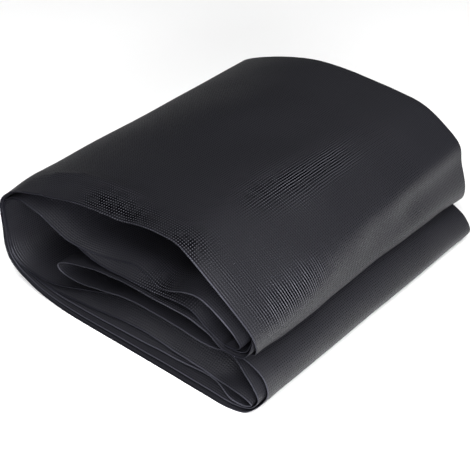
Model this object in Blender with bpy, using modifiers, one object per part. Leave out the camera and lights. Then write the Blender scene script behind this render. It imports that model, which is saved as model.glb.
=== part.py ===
"""Insect netting: one long sheet of fine net, wound flat and folded in half into a bundle."""
import bpy
import numpy as np

THICKNESS = 0.0015        # the net with its gathered threads
FRONT = -0.178            # y where the front lips of the layers begin
BACK = 0.178              # y of the back end
LIP_DEPTH = 0.040         # how far behind the front edge the layers start to droop
CREASE_FALL = 1.7         # how fast the lower stack thins towards the back
STEPS = 3                 # points from one control point of the path to the next
ACROSS = (0.0, 0.045, 0.11, 0.22, 0.42, 0.70, 1.0)   # shares of the sheet's width
NET_COLOUR = (0.012, 0.012, 0.014, 1.0)
NET_ROUGHNESS = 0.62
LAYERS = 6

# The flat C of the bundle, station by station from its upper right, round the left side, to
# its lower right. Columns: outermost layer x, z at the front, its droop at the lip, then
# x, z at the back; innermost layer x, z at the front and x, z at the back.
STATIONS = np.array([
    (0.068, 0.144, 0.000, 0.060, 0.136, 0.080, 0.071, 0.080, 0.052),
    (0.040, 0.147, 0.000, 0.030, 0.139, 0.045, 0.072, 0.045, 0.055),
    (0.000, 0.145, 0.003, -0.005, 0.140, 0.005, 0.074, 0.005, 0.057),
    (-0.048, 0.142, 0.005, -0.048, 0.137, -0.028, 0.071, -0.028, 0.057),
    (-0.092, 0.135, 0.008, -0.092, 0.129, -0.055, 0.065, -0.055, 0.056),
    (-0.123, 0.126, 0.009, -0.125, 0.117, -0.072, 0.060, -0.072, 0.052),
    (-0.141, 0.115, 0.008, -0.143, 0.106, -0.080, 0.057, -0.080, 0.049),
    (-0.154, 0.097, 0.005, -0.154, 0.089, -0.086, 0.053, -0.086, 0.043),
    (-0.160, 0.064, 0.000, -0.160, 0.058, -0.088, 0.048, -0.088, 0.036),
    (-0.152, 0.026, 0.000, -0.152, 0.022, -0.080, 0.043, -0.080, 0.028),
    (-0.124, 0.005, 0.000, -0.124, 0.004, -0.062, 0.042, -0.062, 0.025),
    (-0.085, 0.000, 0.000, -0.085, 0.000, -0.030, 0.047, -0.030, 0.026),
    (0.000, 0.000, 0.000, 0.000, 0.000, 0.008, 0.055, 0.008, 0.028),
    (0.060, 0.000, 0.000, 0.060, 0.000, 0.062, 0.055, 0.062, 0.029),
    (0.105, 0.000, 0.000, 0.105, 0.000, 0.105, 0.053, 0.105, 0.028),
])
OUTER_FRONT, DROOP, OUTER_BACK = slice(0, 2), 2, slice(3, 5)
INNER_FRONT, INNER_BACK = slice(5, 7), slice(7, 9)

# How far layers 2, 3, 4 and 5 lie from the outermost (0) towards the innermost layer (1) at
# each station, in the body of the bundle and at the front lip.
BODY_SHARES = np.array([
    (0.060, 0.130, 0.50, 0.80), (0.060, 0.130, 0.51, 0.80), (0.060, 0.130, 0.52, 0.80),
    (0.060, 0.130, 0.52, 0.78), (0.055, 0.110, 0.46, 0.72), (0.050, 0.100, 0.24, 0.58),
    (0.045, 0.090, 0.14, 0.50), (0.045, 0.090, 0.14, 0.51), (0.045, 0.090, 0.14, 0.51),
    (0.050, 0.105, 0.17, 0.50), (0.090, 0.180, 0.28, 0.60), (0.130, 0.280, 0.45, 0.76),
    (0.160, 0.330, 0.57, 0.82), (0.170, 0.340, 0.60, 0.82), (0.170, 0.340, 0.60, 0.82),
])
LIP_SHARES = np.array([
    (0.060, 0.130, 0.60, 0.78), (0.060, 0.130, 0.63, 0.76), (0.060, 0.130, 0.66, 0.76),
    (0.060, 0.130, 0.65, 0.74), (0.055, 0.110, 0.56, 0.66), (0.050, 0.100, 0.28, 0.52),
    (0.045, 0.090, 0.14, 0.48), (0.045, 0.090, 0.14, 0.49), (0.045, 0.090, 0.14, 0.51),
    (0.050, 0.105, 0.17, 0.50), (0.070, 0.140, 0.22, 0.60), (0.070, 0.140, 0.22, 0.76),
    (0.070, 0.140, 0.23, 0.86), (0.080, 0.160, 0.29, 0.88), (0.090, 0.190, 0.36, 0.88),
])

# The two stacks of folds on the right, each from its top down: x, z at the front and x, z at
# the back of the outermost fold. The inner folds are drawn in towards the pivot by a share.
UPPER_FOLD = np.array([
    (0.092, 0.131, 0.088, 0.131), (0.116, 0.114, 0.116, 0.119), (0.138, 0.097, 0.137, 0.099),
    (0.151, 0.078, 0.144, 0.073), (0.148, 0.062, 0.140, 0.045), (0.126, 0.059, 0.122, 0.034),
    (0.102, 0.065, 0.100, 0.035),
])
UPPER_PIVOT = np.array([0.086, 0.099, 0.084, 0.084])
UPPER_SHARES = {"inner": 0.36, "middle": 0.16, "outer": 0.0}
LOWER_FOLD = np.array([
    (0.130, 0.054, 0.130, 0.028), (0.150, 0.049, 0.148, 0.027), (0.163, 0.034, 0.157, 0.021),
    (0.165, 0.016, 0.158, 0.011), (0.154, 0.003, 0.150, 0.002), (0.133, 0.000, 0.133, 0.000),
])
LOWER_PIVOT = np.array([0.134, 0.015, 0.134, 0.012])
LOWER_SHARES = {"inner": 0.74, "middle": 0.20, "outer": 0.0}

# The sheet's two free ends, tucked in: the first inside the upper folds, the last in the crease.
TUCKED_ENDS = {
    "first": np.array([(0.110, 0.088, 0.108, 0.080), (0.094, 0.097, 0.092, 0.085)]),
    "last": np.array([(0.076, 0.066, 0.076, 0.036), (0.050, 0.066, 0.050, 0.036)]),
}

# The way of the sheet from its hidden end outwards. Columns: stretch, which one, y of its
# front edge where the stretch starts and where it ends, y of its back edge.
PATH = (
    ("tucked_end", "first", -0.168, -0.171, 0.172),
    ("layer_down", 4, -0.172, -0.174, 0.172),
    ("lower_fold", "inner", -0.177, -0.175, 0.174),
    ("layer_up", 3, -0.168, -0.158, 0.176),
    ("upper_fold", "inner", -0.172, -0.180, 0.174),
    ("layer_down", 5, -0.164, -0.162, 0.170),
    ("lower_fold", "middle", -0.176, -0.181, 0.174),
    ("layer_up", 2, -0.178, -0.164, 0.172),
    ("upper_fold", "middle", -0.178, -0.190, 0.176),
    ("layer_down", 6, -0.179, -0.177, 0.174),
    ("lower_fold", "outer", -0.167, -0.176, 0.176),
    ("layer_up", 1, -0.179, -0.174, 0.177),
    ("upper_fold", "outer", -0.175, -0.175, 0.177),
    ("tucked_end", "last", -0.172, -0.172, 0.174),
)


def clear_scene():
    for item in list(bpy.data.objects):
        bpy.data.objects.remove(item, do_unlink=True)


def layer_points(layer, section):
    """Control points of one layer of the C in the section "lip", "front" or "back"."""
    if section == "back":
        outer, inner = STATIONS[:, OUTER_BACK], STATIONS[:, INNER_BACK]
    else:
        outer, inner = STATIONS[:, OUTER_FRONT].copy(), STATIONS[:, INNER_FRONT]
    if section == "lip":
        outer[:, 1] -= STATIONS[:, DROOP]
    if layer == 1:
        return outer
    if layer == LAYERS:
        return inner
    shares = LIP_SHARES if section == "lip" else BODY_SHARES
    share = shares[:, layer - 2]
    return outer + (inner - outer) * share[:, None]


def fold_points(ring, pivot, share, section):
    """Control points of one fold: the outermost ring drawn in towards the pivot."""
    side = slice(2, 4) if section == "back" else slice(0, 2)
    return ring[:, side] + (pivot[side] - ring[:, side]) * share


def stretch_points(kind, which, section):
    if kind == "layer_down":
        return layer_points(which, section)
    if kind == "layer_up":
        return layer_points(which, section)[::-1]
    if kind == "upper_fold":
        return fold_points(UPPER_FOLD, UPPER_PIVOT, UPPER_SHARES[which], section)
    if kind == "lower_fold":
        return fold_points(LOWER_FOLD, LOWER_PIVOT, LOWER_SHARES[which], section)
    side = slice(2, 4) if section == "back" else slice(0, 2)
    return TUCKED_ENDS[which][:, side]


def control_points(section):
    return np.vstack([stretch_points(kind, which, section) for kind, which, *_ in PATH])


def edge_values():
    """The y of the sheet's front and back edge at each control point of the path."""
    rows = []
    for kind, which, front_start, front_end, back in PATH:
        count = len(stretch_points(kind, which, "front"))
        front = np.linspace(front_start, front_end, count)
        rows.append(np.column_stack([front, np.full(count, back)]))
    return np.vstack(rows)


def smooth_rows(values, knots):
    """A smooth curve through rows of values, with STEPS points to each gap between knots."""
    gaps = np.diff(knots)
    slopes = np.diff(values, axis=0) / gaps[:, None]
    weighted = slopes[:-1] * gaps[1:, None] + slopes[1:] * gaps[:-1, None]
    inner = weighted / (gaps[:-1] + gaps[1:])[:, None]
    tangents = np.vstack([slopes[:1], inner, slopes[-1:]])
    rows = []
    for step in range(STEPS):
        u = step / STEPS
        start = (2 * u**3 - 3 * u**2 + 1) * values[:-1] + (3 * u**2 - 2 * u**3) * values[1:]
        bend = (u**3 - 2 * u**2 + u) * tangents[:-1] + (u**3 - u**2) * tangents[1:]
        rows.append(start + bend * gaps[:, None])
    merged = np.stack(rows, axis=1).reshape(-1, values.shape[1])
    return np.vstack([merged, values[-1:]])


def sheet_grid():
    """The middle surface of the net as a grid: along its path, then across its width."""
    sections = {name: control_points(name) for name in ("lip", "front", "back")}
    chords = np.linalg.norm(np.diff(sections["front"], axis=0), axis=1)
    knots = np.concatenate([[0.0], np.cumsum(np.sqrt(chords))])
    curves = {name: smooth_rows(points, knots) for name, points in sections.items()}
    edges = smooth_rows(edge_values(), knots)
    y = edges[:, :1] + (edges[:, 1:] - edges[:, :1]) * np.array(ACROSS)[None, :]
    behind = np.clip((y - FRONT) / LIP_DEPTH, 0.0, 1.0)
    lip = 1.0 - behind * behind * (3.0 - 2.0 * behind)
    far = np.clip((y - FRONT) / (BACK - FRONT), 0.0, 1.0)
    back = 1.0 - (1.0 - far) ** CREASE_FALL
    shares = {"lip": lip * (1.0 - back), "front": (1.0 - lip) * (1.0 - back), "back": back}
    flat = sum(shares[name][..., None] * curves[name][:, None, :] for name in curves)
    x, z = flat[..., 0], np.maximum(flat[..., 1], 0.0)   # what would sink lies on the ground
    return np.stack([x, y, z + THICKNESS / 2], axis=-1)


def make_netting():
    grid = sheet_grid()
    low, high = grid.min(axis=(0, 1)), grid.max(axis=(0, 1))
    grid[..., :2] -= (low + high)[:2] / 2               # centre the footprint on the origin
    along, across = grid.shape[:2]
    index = np.arange(along * across).reshape(along, across)
    corners = (index[:-1, :-1], index[:-1, 1:], index[1:, 1:], index[1:, :-1])
    faces = np.stack(corners, axis=-1).reshape(-1, 4)
    mesh = bpy.data.meshes.new("netting")
    mesh.from_pydata(grid.reshape(-1, 3).tolist(), [], faces.tolist())
    netting = bpy.data.objects.new("netting", mesh)
    shell = netting.modifiers.new("thickness", "SOLIDIFY")
    shell.thickness = THICKNESS
    shell.offset = 0.0
    shell.use_even_offset = True
    return netting


def net_material():
    material = bpy.data.materials.new("black_polyethylene_net")
    material.use_nodes = True
    shader = material.node_tree.nodes["Principled BSDF"]
    shader.inputs["Base Color"].default_value = NET_COLOUR
    shader.inputs["Roughness"].default_value = NET_ROUGHNESS
    shader.inputs["Metallic"].default_value = 0.0
    return material


def main():
    clear_scene()
    parts = bpy.data.collections.new("insect_netting")
    bpy.context.scene.collection.children.link(parts)
    netting = make_netting()
    netting.data.materials.append(net_material())
    parts.objects.link(netting)


main()
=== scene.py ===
import math
import bpy
import numpy as np
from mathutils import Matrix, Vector


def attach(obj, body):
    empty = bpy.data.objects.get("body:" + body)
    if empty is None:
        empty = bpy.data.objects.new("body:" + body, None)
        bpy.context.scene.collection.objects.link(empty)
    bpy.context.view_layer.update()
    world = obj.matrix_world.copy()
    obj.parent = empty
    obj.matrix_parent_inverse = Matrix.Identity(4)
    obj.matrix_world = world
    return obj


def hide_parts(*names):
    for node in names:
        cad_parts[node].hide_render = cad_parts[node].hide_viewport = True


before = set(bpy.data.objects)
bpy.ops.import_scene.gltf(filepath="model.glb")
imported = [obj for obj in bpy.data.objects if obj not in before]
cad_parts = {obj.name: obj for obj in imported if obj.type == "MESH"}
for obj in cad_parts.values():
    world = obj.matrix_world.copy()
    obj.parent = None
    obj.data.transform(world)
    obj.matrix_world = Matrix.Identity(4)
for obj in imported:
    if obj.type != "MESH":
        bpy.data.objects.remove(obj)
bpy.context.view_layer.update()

print("frame loaded")


def srgb(code):
    # hex colour to linear light: c / 12.92 below 0.04045, else ((c + 0.055) / 1.055) ^ 2.4
    values = [int(code[i:i + 2], 16) / 255 for i in (1, 3, 5)]
    linear = [c / 12.92 if c <= 0.04045 else ((c + 0.055) / 1.055) ** 2.4 for c in values]
    return (*linear, 1.0)


def addNode(tree, kind, links=(), **settings):
    # one node with its settings; links are (input name or index, value or output socket)
    node = tree.nodes.new(kind)
    for name, value in settings.items():
        setattr(node, name, value)
    for name, value in links:
        if isinstance(value, bpy.types.NodeSocket):
            tree.links.new(value, node.inputs[name])
        else:
            node.inputs[name].default_value = value
    return node


# The net is one sheet, wound flat three times and folded in half. Stations run down the flat C
# from its upper right, round the left side, to its lower right. Columns: outermost layer x, z at
# the front, its droop at the lip, x, z at the back; innermost layer x, z at the front, x, z at the
# back. All in metres.
folds = {
    "centre": (0.00275, -0.0066),     # middle of the footprint, which comes to lie over the origin
    "front": -0.178,          # y where the front lips begin
    "back": 0.178,            # y where the back section holds
    "lipDepth": 0.040,        # how far behind the front edge the layers start to droop
    "creaseFall": 1.7,        # how fast the lower stack thins towards the back
    "thickness": 0.0006,      # the net itself
    "stepsAlong": 7,          # points from one control point to the next
    "lipColumns": 11,         # points across the front lip, closer together than the rest
    "bodyColumns": 33,
    "lipShare": 0.12,         # how much of the width the front lip takes
    "hemShare": 0.001,        # first and last strip, which keep the shading flat up to the cut edges
    "stations": [
        (0.068, 0.144, 0.000, 0.060, 0.1385, 0.080, 0.073, 0.080, 0.052),
        (0.040, 0.147, 0.001, 0.030, 0.1405, 0.045, 0.073, 0.045, 0.055),
        (0.000, 0.145, 0.006, -0.005, 0.1416, 0.005, 0.074, 0.005, 0.057),
        (-0.048, 0.141, 0.006, -0.048, 0.1385, -0.028, 0.071, -0.028, 0.057),
        (-0.092, 0.1335, 0.0085, -0.092, 0.1280, -0.055, 0.065, -0.055, 0.056),
        (-0.123, 0.125, 0.0085, -0.126, 0.1163, -0.072, 0.060, -0.072, 0.052),
        (-0.143, 0.1145, 0.006, -0.1455, 0.1062, -0.078, 0.057, -0.079, 0.049),
        (-0.157, 0.098, 0.004, -0.157, 0.092, -0.083, 0.054, -0.084, 0.043),
        (-0.158, 0.064, 0.000, -0.160, 0.059, -0.084, 0.0495, -0.086, 0.036),
        (-0.1535, 0.0285, 0.000, -0.153, 0.023, -0.077, 0.0455, -0.079, 0.028),
        (-0.124, 0.010, 0.000, -0.124, 0.004, -0.060, 0.0440, -0.062, 0.025),
        (-0.085, 0.002, 0.000, -0.085, 0.000, -0.030, 0.0490, -0.030, 0.026),
        (0.000, 0.000, 0.000, 0.000, 0.000, 0.008, 0.0570, 0.008, 0.028),
        (0.060, 0.000, 0.000, 0.060, 0.000, 0.062, 0.0565, 0.062, 0.029),
        (0.105, 0.000, 0.000, 0.105, 0.000, 0.105, 0.0545, 0.105, 0.028),
    ],
    # how far layers 2 to 5 lie from the outermost (0) to the innermost (1), at each station
    "bodyShares": [
        (0.060, 0.130, 0.58, 0.80), (0.060, 0.130, 0.74, 0.80), (0.060, 0.130, 0.785, 0.81),
        (0.055, 0.115, 0.765, 0.79), (0.045, 0.090, 0.63, 0.66), (0.030, 0.060, 0.26, 0.34),
        (0.016, 0.032, 0.090, 0.12), (0.012, 0.024, 0.040, 0.055), (0.012, 0.024, 0.038, 0.052),
        (0.020, 0.040, 0.065, 0.090), (0.045, 0.095, 0.17, 0.30), (0.110, 0.230, 0.40, 0.66),
        (0.150, 0.310, 0.55, 0.81), (0.160, 0.330, 0.60, 0.82), (0.160, 0.330, 0.60, 0.82),
    ],
    # the same at the front lip
    "lipShares": [
        (0.060, 0.130, 0.67, 0.90), (0.060, 0.130, 0.885, 0.93), (0.060, 0.130, 0.935, 0.95),
        (0.055, 0.110, 0.88, 0.90), (0.045, 0.090, 0.665, 0.68), (0.030, 0.060, 0.30, 0.37),
        (0.016, 0.032, 0.10, 0.13), (0.012, 0.024, 0.040, 0.055), (0.012, 0.024, 0.038, 0.052),
        (0.020, 0.040, 0.065, 0.090), (0.045, 0.095, 0.15, 0.28), (0.060, 0.120, 0.20, 0.62),
        (0.070, 0.140, 0.23, 0.84), (0.075, 0.150, 0.26, 0.86), (0.070, 0.165, 0.31, 0.86),
    ],
    # the folds on the right, each from its top down: x, z at the front and at the back; the upper
    # stack has its outermost fold alone
    "upperFold": [
        (0.092, 0.131, 0.089, 0.1335), (0.116, 0.114, 0.117, 0.1200), (0.138, 0.097, 0.139, 0.1000),
        (0.151, 0.078, 0.144, 0.0740), (0.148, 0.062, 0.1445, 0.0500), (0.126, 0.061, 0.128, 0.0425),
        (0.102, 0.067, 0.100, 0.0380),
    ],
    "upperPivot": (0.086, 0.099, 0.082, 0.084),
    # how far the folds inside it are drawn in towards the pivot, at the front and at the back
    "upperShares": {"inner": (0.11, 0.17), "middle": (0.05, 0.09), "outer": (0.0, 0.0)},
    # how much of that stays at the front, point by point: the folds close up below
    "upperNesting": (1.0, 1.0, 1.0, 1.0, 0.8, 0.5, 0.4),
    "lowerFold": {
        "outer": [
            (0.129, 0.0560, 0.130, 0.0405), (0.1455, 0.0485, 0.144, 0.0350),
            (0.158, 0.034, 0.1545, 0.0245), (0.160, 0.016, 0.1595, 0.0130),
            (0.150, 0.003, 0.1535, 0.0020), (0.130, 0.000, 0.136, 0.0000),
        ],
        "middle": [
            (0.126, 0.0460, 0.128, 0.0370), (0.1405, 0.0380, 0.142, 0.0315),
            (0.152, 0.0295, 0.1520, 0.0220), (0.1575, 0.0180, 0.1565, 0.0120),
            (0.151, 0.0070, 0.1505, 0.0035), (0.134, 0.0035, 0.136, 0.0020),
        ],
        "inner": [
            (0.128, 0.0190, 0.126, 0.0155), (0.143, 0.0170, 0.140, 0.0150),
            (0.1525, 0.0125, 0.1465, 0.0115), (0.146, 0.0080, 0.140, 0.0080),
            (0.130, 0.0075, 0.128, 0.0080),
        ],
    },
    "tuckedEnds": {
        "first": [
            (0.1230, 0.0655, 0.116, 0.056), (0.1340, 0.0662, 0.126, 0.059),
            (0.1395, 0.0705, 0.130, 0.065), (0.133, 0.0785, 0.124, 0.074),
            (0.124, 0.0855, 0.115, 0.081), (0.112, 0.092, 0.104, 0.085),
            (0.095, 0.099, 0.090, 0.086),
        ],
        "last": [(0.078, 0.066, 0.076, 0.036), (0.050, 0.067, 0.050, 0.036)],
    },
    # the way of the sheet from its hidden end outwards: stretch, which one, y of the front edge at
    # even steps along the stretch, y of the back edge, how pale the front edge is at even steps
    "path": [
        ("tuckedEnds", "first", (-0.178, -0.177, -0.176), 0.172,
         (0.0, 0.0, 0.05, 0.2, 0.5, 0.4, 0.3)),
        ("layerDown", 4,
         (-0.176, -0.170, -0.160, -0.166, -0.174, -0.174, -0.174, -0.174, -0.174, -0.174, -0.173,
          -0.170, -0.166, -0.170, -0.174), 0.172,
         (0.25, 0.04, 0.0, 0.02, 0.10, 0.12, 0.03, 0.0, 0.0, 0.0, 0.0, 0.0, 0.1, 0.25, 0.3)),
        ("lowerFold", "inner", (-0.177, -0.178), 0.174,
         (0.18, 0.45)),
        ("layerUp", 3, (-0.170, -0.171, -0.172, -0.174, -0.170, -0.162, -0.154), 0.176,
         (0.4, 0.0, 0.0)),
        ("upperFold", "inner", (-0.154, -0.160, -0.164, -0.166, -0.173, -0.176, -0.174), 0.174,
         (0.0, 0.1)),
        ("layerDown", 5,
         (-0.174, -0.174, -0.174, -0.174, -0.172, -0.172, -0.174, -0.174, -0.174, -0.174, -0.172,
          -0.165, -0.160, -0.160, -0.162), 0.170,
         (0.05, 0.0, 0.0, 0.05)),
        ("lowerFold", "middle", (-0.168, -0.174, -0.174, -0.178), 0.174,
         (0.16, 0.3, 0.3)),
        ("layerUp", 2, (-0.178, -0.176, -0.175, -0.174, -0.170, -0.162, -0.155), 0.172,
         (0.3, 0.1, 0.0)),
        ("upperFold", "middle", (-0.155, -0.162, -0.166, -0.170, -0.178, -0.181, -0.177), 0.176,
         (0.0, 0.2, 0.1, 0.0, 0.0, 0.25)),
        ("layerDown", 6, (-0.177, -0.176, -0.176, -0.176, -0.177), 0.174,
         (0.3, 0.08, 0.08, 0.2, 0.33, 0.1, 0.14, 0.2)),
        ("lowerFold", "outer", (-0.172, -0.168, -0.165, -0.165, -0.177, -0.182), 0.173,
         (0.05, 0.45, 0.2)),
        ("layerUp", 1, (-0.182, -0.178, -0.176, -0.175, -0.174), 0.1755,
         (0.0, 0.0, 0.0, 0.03, 0.04, 0.15)),
        ("upperFold", "outer", (-0.175, -0.175, -0.175, -0.172, -0.168, -0.164, -0.163), 0.1765,
         (0.42, 0.40, 0.28, 0.20, 0.03, 0.0, 0.0)),
        ("tuckedEnds", "last", (-0.163, -0.166), 0.174,
         (0.15, 0.15)),
    ],
}


def stretchPoints(kind, which, section):
    # control points x, z of one stretch at the lip, the front or the back:
    # layer = outermost + (innermost - outermost) * share; fold = ring + (pivot - ring) * share
    atBack = section == "back"
    side = slice(2, 4) if atBack else slice(0, 2)
    if kind in ("tuckedEnds", "lowerFold"):
        return np.array(folds[kind][which])[:, side]
    if kind == "upperFold":
        ring, pivot = np.array(folds[kind])[:, side], np.array(folds["upperPivot"])[side]
        nesting = np.ones(len(ring)) if atBack else np.array(folds["upperNesting"])
        return ring + (pivot - ring) * folds["upperShares"][which][atBack] * nesting[:, None]
    table = np.array(folds["stations"])
    outer = table[:, 3:5] if atBack else table[:, 0:2]
    inner = table[:, 7:9] if atBack else table[:, 5:7]
    if section == "lip":
        outer = outer - table[:, 2:3] * np.array([0.0, 1.0])
    shares = np.array(folds["lipShares" if section == "lip" else "bodyShares"])
    shares = np.column_stack([np.zeros(len(table)), shares, np.ones(len(table))])
    points = outer + (inner - outer) * shares[:, which - 1:which]
    return points if kind == "layerDown" else points[::-1]


def smoothRows(values, knots, steps):
    # cubic Hermite curve through rows of values, each tangent the weighted mean of its two slopes:
    # (2u^3 - 3u^2 + 1) start + (3u^2 - 2u^3) end + (u^3 - 2u^2 + u) rise + (u^3 - u^2) fall
    gaps = np.diff(knots)[:, None]
    slopes = np.diff(values, axis=0) / gaps
    inner = (slopes[:-1] * gaps[1:] + slopes[1:] * gaps[:-1]) / (gaps[:-1] + gaps[1:])
    tangents = np.vstack([slopes[:1], inner, slopes[-1:]])
    u = (np.arange(steps) / steps)[None, :, None]
    start, end = values[:-1, None], values[1:, None]
    rise, fall = tangents[:-1, None] * gaps[:, None], tangents[1:, None] * gaps[:, None]
    rows = (2 * u**3 - 3 * u**2 + 1) * start + (3 * u**2 - 2 * u**3) * end
    rows = rows + (u**3 - 2 * u**2 + u) * rise + (u**3 - u**2) * fall
    return np.vstack([rows.reshape(-1, values.shape[1]), values[-1:]])


def ease(t):
    # from 0 to 1, level at both ends: 3t^2 - 2t^3
    t = np.clip(t, 0.0, 1.0)
    return t * t * (3.0 - 2.0 * t)


def netSurface():
    # point(along, across) = lip share * lip curve + front share * front curve + back share * back curve
    sections = {}
    for name in ("lip", "front", "back"):
        sections[name] = np.vstack([stretchPoints(kind, which, name) for kind, which, *_ in folds["path"]])
    edges = []
    for kind, which, fronts, back, paleness in folds["path"]:
        count = len(stretchPoints(kind, which, "front"))
        front, pale = (np.interp(np.linspace(0, len(values) - 1, count), np.arange(len(values)), values)
                       for values in (fronts, paleness))
        edges.append(np.column_stack([front, np.full(count, back), pale]))
    chords = np.linalg.norm(np.diff(sections["front"], axis=0), axis=1)
    knots = np.concatenate([[0.0], np.cumsum(np.sqrt(chords))])
    curves = {name: smoothRows(points, knots, folds["stepsAlong"]) for name, points in sections.items()}
    edges = smoothRows(np.vstack(edges), knots, folds["stepsAlong"])
    lipPart = np.linspace(0.0, folds["lipShare"], folds["lipColumns"], endpoint=False)
    bodyPart = np.linspace(folds["lipShare"], 1.0, folds["bodyColumns"])
    across = np.concatenate([lipPart, bodyPart])
    hems = [folds["hemShare"], 1.0 - folds["hemShare"]]
    across = np.insert(across, [1, len(across) - 1], hems)[None, :]
    y = edges[:, :1] + (edges[:, 1:2] - edges[:, :1]) * across
    lip = 1.0 - ease((y - folds["front"]) / folds["lipDepth"])
    far = np.clip((y - folds["front"]) / (folds["back"] - folds["front"]), 0.0, 1.0)
    back = 1.0 - (1.0 - far) ** folds["creaseFall"]
    shares = {"lip": lip * (1.0 - back), "front": (1.0 - lip) * (1.0 - back), "back": back}
    flat = sum(shares[name][..., None] * curves[name][:, None, :] for name in curves)
    return np.stack([flat[..., 0], y, flat[..., 1]], axis=-1), edges[:, 2]


def clothLengths(grid):
    # along = mean length of the path up to each row; across = way from the front edge to each point
    along = np.linalg.norm(np.diff(grid, axis=0), axis=2).mean(axis=1)
    across = np.linalg.norm(np.diff(grid, axis=1), axis=2)
    along = np.concatenate([[0.0], np.cumsum(along)])
    across = np.concatenate([np.zeros((len(grid), 1)), np.cumsum(across, axis=1)], axis=1)
    return np.stack([np.repeat(along[:, None], grid.shape[1], axis=1), across], axis=-1)


# Soft folds and creases in metres. Each row: the line's start x, y, z and end x, y, z, spread to
# either side, height (below zero: a trough), and the direction x, y, z in which it pushes.
creases = {
    "soft": [
        # shoulder ridge and the troughs below it
        (0.150, -0.070, 0.112, 0.150, 0.150, 0.112, 0.020, 0.0022, (0.8, 0.0, 0.6)),
        (0.150, 0.020, 0.084, 0.150, 0.175, 0.090, 0.016, -0.0024, (1.0, 0.0, 0.2)),
        (0.150, 0.080, 0.086, 0.150, 0.175, 0.090, 0.014, -0.0024, (1.0, 0.0, 0.2)),
        (0.140, 0.060, 0.062, 0.140, 0.170, 0.060, 0.012, 0.0020, (1.0, 0.0, -0.2)),
        (0.150, -0.160, 0.085, 0.150, -0.060, 0.080, 0.018, 0.0020, (0.9, 0.0, 0.3)),
        # shallow dip on top and the rise behind it
        (-0.040, -0.060, 0.140, 0.060, 0.060, 0.140, 0.045, -0.0020, (0.0, 0.0, 1.0)),
        (-0.090, 0.160, 0.140, 0.090, 0.170, 0.135, 0.022, 0.0012, (0.0, 0.0, 1.0)),
        # along the crease between the two stacks
        (0.125, 0.160, 0.043, 0.140, 0.180, 0.045, 0.022, -0.0045, (0.0, 0.0, 1.0)),
        (0.135, -0.125, 0.058, 0.135, -0.085, 0.056, 0.022, -0.0040, (0.0, 0.0, 1.0)),
        (0.135, 0.030, 0.050, 0.135, 0.080, 0.048, 0.022, 0.0015, (0.0, 0.0, 1.0)),
    ],
    "sharp": [
        # where the lip bends down
        (-0.112, -0.146, 0.128, -0.080, -0.138, 0.135, 0.0035, 0.0016, (0.0, 0.0, 1.0)),
        (-0.080, -0.138, 0.138, -0.005, -0.137, 0.141, 0.0035, 0.0018, (0.0, 0.0, 1.0)),
    ],
    # unevenness: height, shortest and longest wave, number of waves, seed
    "waves": (0.0004, 0.05, 0.16, 9, 3),          # everywhere
    "lipWaves": (0.0003, 0.018, 0.045, 9, 8),     # more of it at the front lips
    "lipReach": 0.018,        # how far from the front edge these fade
    "grounded": 0.012,        # height over which the unevenness fades to nothing at the ground
}


def pushSoft(points):
    # push = direction * height * exp(-(distance to the line / spread)^2)
    moved = np.zeros_like(points)
    for x0, y0, z0, x1, y1, z1, spread, height, way in creases["soft"] + creases["sharp"]:
        start, end = np.array([x0, y0, z0]), np.array([x1, y1, z1])
        line = end - start
        share = np.clip(((points - start) @ line) / (line @ line), 0.0, 1.0)
        distance = np.linalg.norm(points - (start + share[..., None] * line), axis=-1)
        moved += np.array(way) * (height * np.exp(-(distance / spread) ** 2))[..., None]
    return moved


def unevenness(points, height, low, high, count, seed):
    # height * sum of sines through space, each with its own direction, wavelength and phase
    random = np.random.default_rng(seed)
    total = np.zeros_like(points)
    for _ in range(count):
        way = random.normal(size=3)
        way *= 2 * math.pi / (np.linalg.norm(way) * random.uniform(low, high))
        push = random.normal(size=3) / math.sqrt(1.5 * count)
        total += np.sin(points @ way + random.uniform(0, 2 * math.pi))[..., None] * push
    return height * total


def crumple(grid):
    # the same field moves neighbouring layers alike, so that they don't cross
    moved = pushSoft(grid) + unevenness(grid, *creases["waves"])
    lip = np.exp(-(grid[..., 1] - grid[:, :1, 1]) / creases["lipReach"])[..., None]
    moved += lip * unevenness(grid, *creases["lipWaves"])
    moved *= ease(grid[..., 2] / creases["grounded"])[..., None]
    return grid + moved


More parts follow.
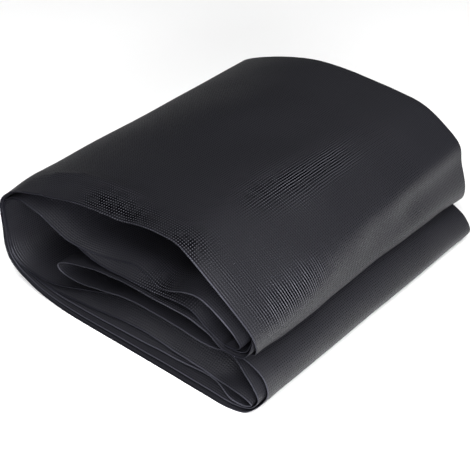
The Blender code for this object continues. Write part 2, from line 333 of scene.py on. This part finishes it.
def makeNet():
    grid, paleness = netSurface()
    grid[..., 2] = np.maximum(grid[..., 2], 0.0)             # what would sink lies on the ground
    grid = crumple(grid)
    grid[..., :2] -= folds["centre"]
    grid[..., 2] += folds["thickness"] / 2
    cloth = clothLengths(grid)
    rows, columns = grid.shape[:2]
    index = np.arange(rows * columns).reshape(rows, columns)
    corners = (index[:-1, :-1], index[:-1, 1:], index[1:, 1:], index[1:, :-1])
    faces = np.stack(corners, axis=-1).reshape(-1, 4)
    mesh = bpy.data.meshes.new("net")
    mesh.from_pydata(grid.reshape(-1, 3).tolist(), [], faces.tolist())
    mesh.polygons.foreach_set("use_smooth", np.ones(len(faces), dtype=bool))
    layer = mesh.uv_layers.new(name="cloth")
    layer.data.foreach_set("uv", cloth.reshape(-1, 2)[faces.ravel()].ravel().astype(np.float32))
    inwards = {"front": cloth[..., 1], "back": cloth[:, -1:, 1] - cloth[..., 1]}
    close = [1.0 - ease((inwards[side] - start) / (end - start))
             for side, (start, end) in weave["selvedgeFades"].items()]
    stored = {"paleEdge": np.repeat(paleness, columns), "selvedge": np.maximum(*close)}
    stored.update(beatAlong=beatStrength(grid, 0), beatAcross=beatStrength(grid, 1))
    for name, values in stored.items():
        layer = mesh.attributes.new(name, "FLOAT", "POINT")
        layer.data.foreach_set("value", values.ravel().astype(np.float32))
    net = bpy.data.objects.new("net", mesh)
    bpy.context.scene.collection.objects.link(net)
    shell = net.modifiers.new("thickness", "SOLIDIFY")
    shell.thickness = folds["thickness"]
    shell.offset = 0.0
    shell.use_even_offset = True
    length, width = float(cloth[-1, 0, 0]), float(cloth[:, -1, 1].mean())
    print("net:", rows, "by", columns, "points,", round(length, 3), "m long,", round(width, 3), "m wide")
    return net, length, width


weave = {
    "colour": "#121217",
    "glint": "#4c4c53",       # threads that catch the light where two layers' meshes beat
    "gap": "#020203",         # and the gaps between them, painted as shade
    "edge": "#4c4c54",
    "roughness": 0.5,
    "specular": 0.33,
    "pitch": 0.0024,          # real pitch is about 1.3 mm, drawn coarser so that it shows
    "thread": 0.52,           # share of the pitch that a thread covers
    "selvedge": 0.86,         # the same near the long edges, where the net is woven closer
    "selvedgeFades": {"front": (0.0, 0.025), "back": (0.050, 0.085)},     # from, to, off the edge
    "holeFill": 0.70,         # the drawn hole stands for several real ones and the threads between them
    "softness": 0.10,         # share of the pitch over which a thread's side fades
    "bump": 0.0003,
    "bumpStrength": 0.7,
    "bumpWidth": 0.6,         # how far the rise of a thread reaches, in thread widths
    "edgeWidth": 0.0012,      # strip along the front cut edge that can show pale
    "hemDulling": 0.9,        # how much less the very edge shines
    "beatPitch": (0.0027, 0.0028),    # from one bright line to the next, along the sheet and across it
    "beatShare": 0.34,        # how much of that is bright
    "beatSoftness": 0.05,     # share of the pitch by which a line's side fades in and out
    "breakSize": 0.007,       # the lines weaken about this often
    "breaks": (0.30, 0.55, 0.6),      # noise at their weakest and at full strength, and the weakest
    "wander": 0.0017,         # they leave the straight by up to this much
    "wanderSize": 0.018,
    # where the meshes beat, painted as glinting lines and shaded gaps: place x, y, z, spread x, y, z,
    # lines along the folds, lines along the sheet
    "beats": [
        (-0.035, -0.155, 0.136, 0.026, 0.022, 0.020, 0.9, 0.9),
        (0.010, -0.158, 0.141, 0.034, 0.020, 0.020, 0.9, 0.9),
        (0.070, -0.160, 0.141, 0.022, 0.022, 0.020, 0.9, 0.9),
        (0.066, -0.058, 0.141, 0.022, 0.030, 0.020, 0.75, 0.5),
        (0.075, -0.012, 0.139, 0.020, 0.030, 0.020, 0.95, 0.45),
        (0.078, 0.040, 0.139, 0.018, 0.032, 0.020, 1.0, 0.3),
        (0.143, -0.080, 0.093, 0.020, 0.030, 0.014, 0.25, 1.0),
        (0.143, -0.125, 0.092, 0.020, 0.026, 0.016, 0.25, 1.0),
        (0.112, -0.155, 0.115, 0.025, 0.020, 0.025, 0.1, 0.35),
        (0.044, -0.165, 0.084, 0.034, 0.022, 0.018, 1.0, 0.9),
        (0.058, -0.165, 0.018, 0.020, 0.014, 0.014, 0.3, 0.3),
        (-0.148, -0.168, 0.036, 0.012, 0.014, 0.014, 0.0, 0.6),
    ],
}


def beatStrength(points, column):
    # sum of strength * exp(-|(point - place) / spread|^2)
    total = np.zeros(points.shape[:-1])
    for row in weave["beats"]:
        away = (points - np.array(row[:3])) / np.array(row[3:6])
        total += row[6 + column] * np.exp(-(away ** 2).sum(axis=-1))
    return np.clip(total, 0.0, 1.0)


def netMaterial():
    # polyethylene monofilament net, woven: dull round threads with a soft sheen, see-through
    # between them
    material = bpy.data.materials.new("wovenPolyethyleneNet")
    material.use_nodes = True
    tree = material.node_tree
    shader = tree.nodes["Principled BSDF"]

    def maths(operation, *values):
        return addNode(tree, "ShaderNodeMath", list(enumerate(values)), operation=operation).outputs[0]

    def ramp(value, low, high, start=0.0, end=1.0):
        links = list(enumerate((value, low, high, start, end)))
        return addNode(tree, "ShaderNodeMapRange", links).outputs[0]

    def mixed(share, first, second):
        links = [(0, share), (6, first), (7, second)]
        return addNode(tree, "ShaderNodeMix", links, data_type="RGBA").outputs[2]

    def stored(name):
        return addNode(tree, "ShaderNodeAttribute", attribute_name=name).outputs["Fac"]

    def noise(place, size, detail):
        links = [("Vector", place), ("Scale", 1 / size), ("Detail", detail)]
        return addNode(tree, "ShaderNodeTexNoise", links).outputs

    def offCentre(value, pitch):
        # 0 in the middle of a thread, 0.5 halfway to the next
        share = maths("FRACT", maths("DIVIDE", value, pitch))
        return maths("ABSOLUTE", maths("SUBTRACT", share, 0.5))

    # the threads, along the sheet and across it
    uv = addNode(tree, "ShaderNodeUVMap", uv_map="cloth").outputs[0]
    parts = addNode(tree, "ShaderNodeSeparateXYZ", [(0, uv)])
    aways = [offCentre(parts.outputs[axis], weave["pitch"]) for axis in (0, 1)]
    half = ramp(stored("selvedge"), 0.0, 1.0, weave["thread"] / 2, weave["selvedge"] / 2)
    low = maths("SUBTRACT", half, weave["softness"] / 2)
    high = maths("ADD", half, weave["softness"] / 2)
    thread = maths("MAXIMUM", *[ramp(away, low, high, 1.0, weave["holeFill"]) for away in aways])
    reach = weave["thread"] * weave["bumpWidth"]
    relief = maths("MAXIMUM", *[ramp(away, 0.0, reach, 1.0, 0.0) for away in aways])
    links = [("Strength", weave["bumpStrength"]), ("Distance", weave["bump"]), ("Height", relief)]
    bump = addNode(tree, "ShaderNodeBump", links)

    # the beat of two meshes, drawn as painted glints along pale lines with painted shade in the dark gaps
    # between them
    drift = noise(uv, weave["wanderSize"], 1.0)[1]
    links = [(0, drift), (1, (weave["wander"],) * 3), (2, uv)]
    drifted = addNode(tree, "ShaderNodeVectorMath", links, operation="MULTIPLY_ADD").outputs[0]
    places = addNode(tree, "ShaderNodeSeparateXYZ", [(0, drifted)])
    low = weave["beatShare"] / 2 - weave["beatSoftness"]
    high = weave["beatShare"] / 2 + weave["beatSoftness"]
    lines = [ramp(offCentre(places.outputs[axis], weave["beatPitch"][axis]), low, high, 1.0, 0.0)
             for axis in (0, 1)]
    unbroken = ramp(noise(uv, weave["breakSize"], 0.0)[0], *weave["breaks"])
    strengths = [maths("MULTIPLY", stored(name), unbroken) for name in ("beatAlong", "beatAcross")]
    beat = maths("MAXIMUM", *strengths)
    gaps = [maths("MULTIPLY", strength, maths("SUBTRACT", 1.0, line))
            for strength, line in zip(strengths, lines)]
    gap = maths("DIVIDE", maths("ADD", *gaps), maths("ADD", beat, 0.001))     # never by nothing
    line = maths("MAXIMUM", maths("SUBTRACT", 1.0, gap), 0.0)
    # painted glint on the lines, painted shade in the gaps
    shade = mixed(line, srgb(weave["gap"]), srgb(weave["glint"]))
    colour = mixed(beat, srgb(weave["colour"]), shade)
    loss = maths("SUBTRACT", maths("MULTIPLY", line, weave["specular"]), weave["specular"])
    gloss = maths("MULTIPLY_ADD", beat, loss, weave["specular"])

    # the cut edge at the front, paler where the light reaches it
    hem = maths("LESS_THAN", parts.outputs[1], weave["edgeWidth"])
    edge = maths("MULTIPLY", hem, stored("paleEdge"))
    colour = mixed(edge, colour, srgb(weave["edge"]))
    dulling = maths("SUBTRACT", 1.0, maths("MULTIPLY", hem, weave["hemDulling"]))
    gloss = maths("MULTIPLY", gloss, dulling)

    tree.links.new(colour, shader.inputs["Base Color"])
    # where the beats are painted the net turns opaque, so the painted shade in the gaps hides the layers
    # beneath
    tree.links.new(maths("MAXIMUM", maths("MAXIMUM", thread, beat), edge), shader.inputs["Alpha"])
    tree.links.new(bump.outputs[0], shader.inputs["Normal"])
    tree.links.new(gloss, shader.inputs["Specular IOR Level"])
    shader.inputs["Specular IOR Level"].default_value = weave["specular"]
    shader.inputs["Roughness"].default_value = weave["roughness"]
    return material


studio = {
    "azimuth": 39.6,
    "elevation": 35.1,
    "distance": 1.2647,
    "lens": 98.96,
    "sensor": 36.0,
    "aim": (0.00925, -0.0224, 0.050),
    "floorReach": 12.0,       # half the floor's side
    "floorColour": "#f2f2f2",
    "floorRoughness": 0.9,
    "worldColour": "#ffffff",
    "worldStrength": 0.06,
    # name: place, aim, width and height, watts
    "lights": {
        "overhead": ((0.5, -0.8, 1.9), (0.0, 0.0, 0.0), (1.6, 1.6), 74.0),
        "rightFront": ((1.2, -0.9, 0.5), (0.1, 0.0, 0.06), (0.9, 0.5), 44.0),
        "frontLow": ((0.2, -1.6, 0.35), (0.0, -0.1, 0.05), (1.0, 0.4), 15.0),
        "back": ((-0.7, 1.5, 0.75), (0.0, 0.1, 0.10), (1.2, 0.4), 0.5),
    },
}


def makeCamera():
    # the camera stands at the azimuth and elevation, the distance away from the aim
    azimuth, elevation = math.radians(studio["azimuth"]), math.radians(studio["elevation"])
    level = math.cos(elevation)
    away = Vector((math.sin(azimuth) * level, -math.cos(azimuth) * level, math.sin(elevation)))
    lens = bpy.data.cameras.new("camera")
    lens.lens = studio["lens"]
    lens.sensor_width = studio["sensor"]
    camera = bpy.data.objects.new("camera", lens)
    camera.location = Vector(studio["aim"]) + away * studio["distance"]
    camera.rotation_euler = away.to_track_quat("Z", "Y").to_euler()
    bpy.context.scene.collection.objects.link(camera)
    bpy.context.scene.camera = camera


def makeLight(name, place, aim, size, power):
    light = bpy.data.lights.new(name, "AREA")
    light.shape = "RECTANGLE"
    light.size, light.size_y = size
    light.energy = power
    item = bpy.data.objects.new(name, light)
    item.location = place
    item.rotation_euler = (Vector(place) - Vector(aim)).to_track_quat("Z", "Y").to_euler()
    bpy.context.scene.collection.objects.link(item)


def makeStudio():
    mesh = bpy.data.meshes.new("floor")
    reach = studio["floorReach"]
    corners = [(-reach, -reach, 0), (reach, -reach, 0), (reach, reach, 0), (-reach, reach, 0)]
    mesh.from_pydata(corners, [], [(0, 1, 2, 3)])
    floor = bpy.data.objects.new("floor", mesh)
    bpy.context.scene.collection.objects.link(floor)
    material = bpy.data.materials.new("paperFloor")
    material.use_nodes = True
    shader = material.node_tree.nodes["Principled BSDF"]
    shader.inputs["Base Color"].default_value = srgb(studio["floorColour"])
    shader.inputs["Roughness"].default_value = studio["floorRoughness"]
    floor.data.materials.append(material)
    world = bpy.data.worlds.new("studio")
    world.use_nodes = True
    background = world.node_tree.nodes["Background"]
    background.inputs["Color"].default_value = srgb(studio["worldColour"])
    background.inputs["Strength"].default_value = studio["worldStrength"]
    bpy.context.scene.world = world
    for name, (place, aim, size, power) in studio["lights"].items():
        makeLight(name, place, aim, size, power)
    bpy.context.scene.view_settings.view_transform = "Standard"


net, clothLength, clothWidth = makeNet()
net.data.materials.append(netMaterial())
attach(net, "root")
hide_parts("netting")
print("net dressed")
makeStudio()
makeCamera()
print("studio ready")
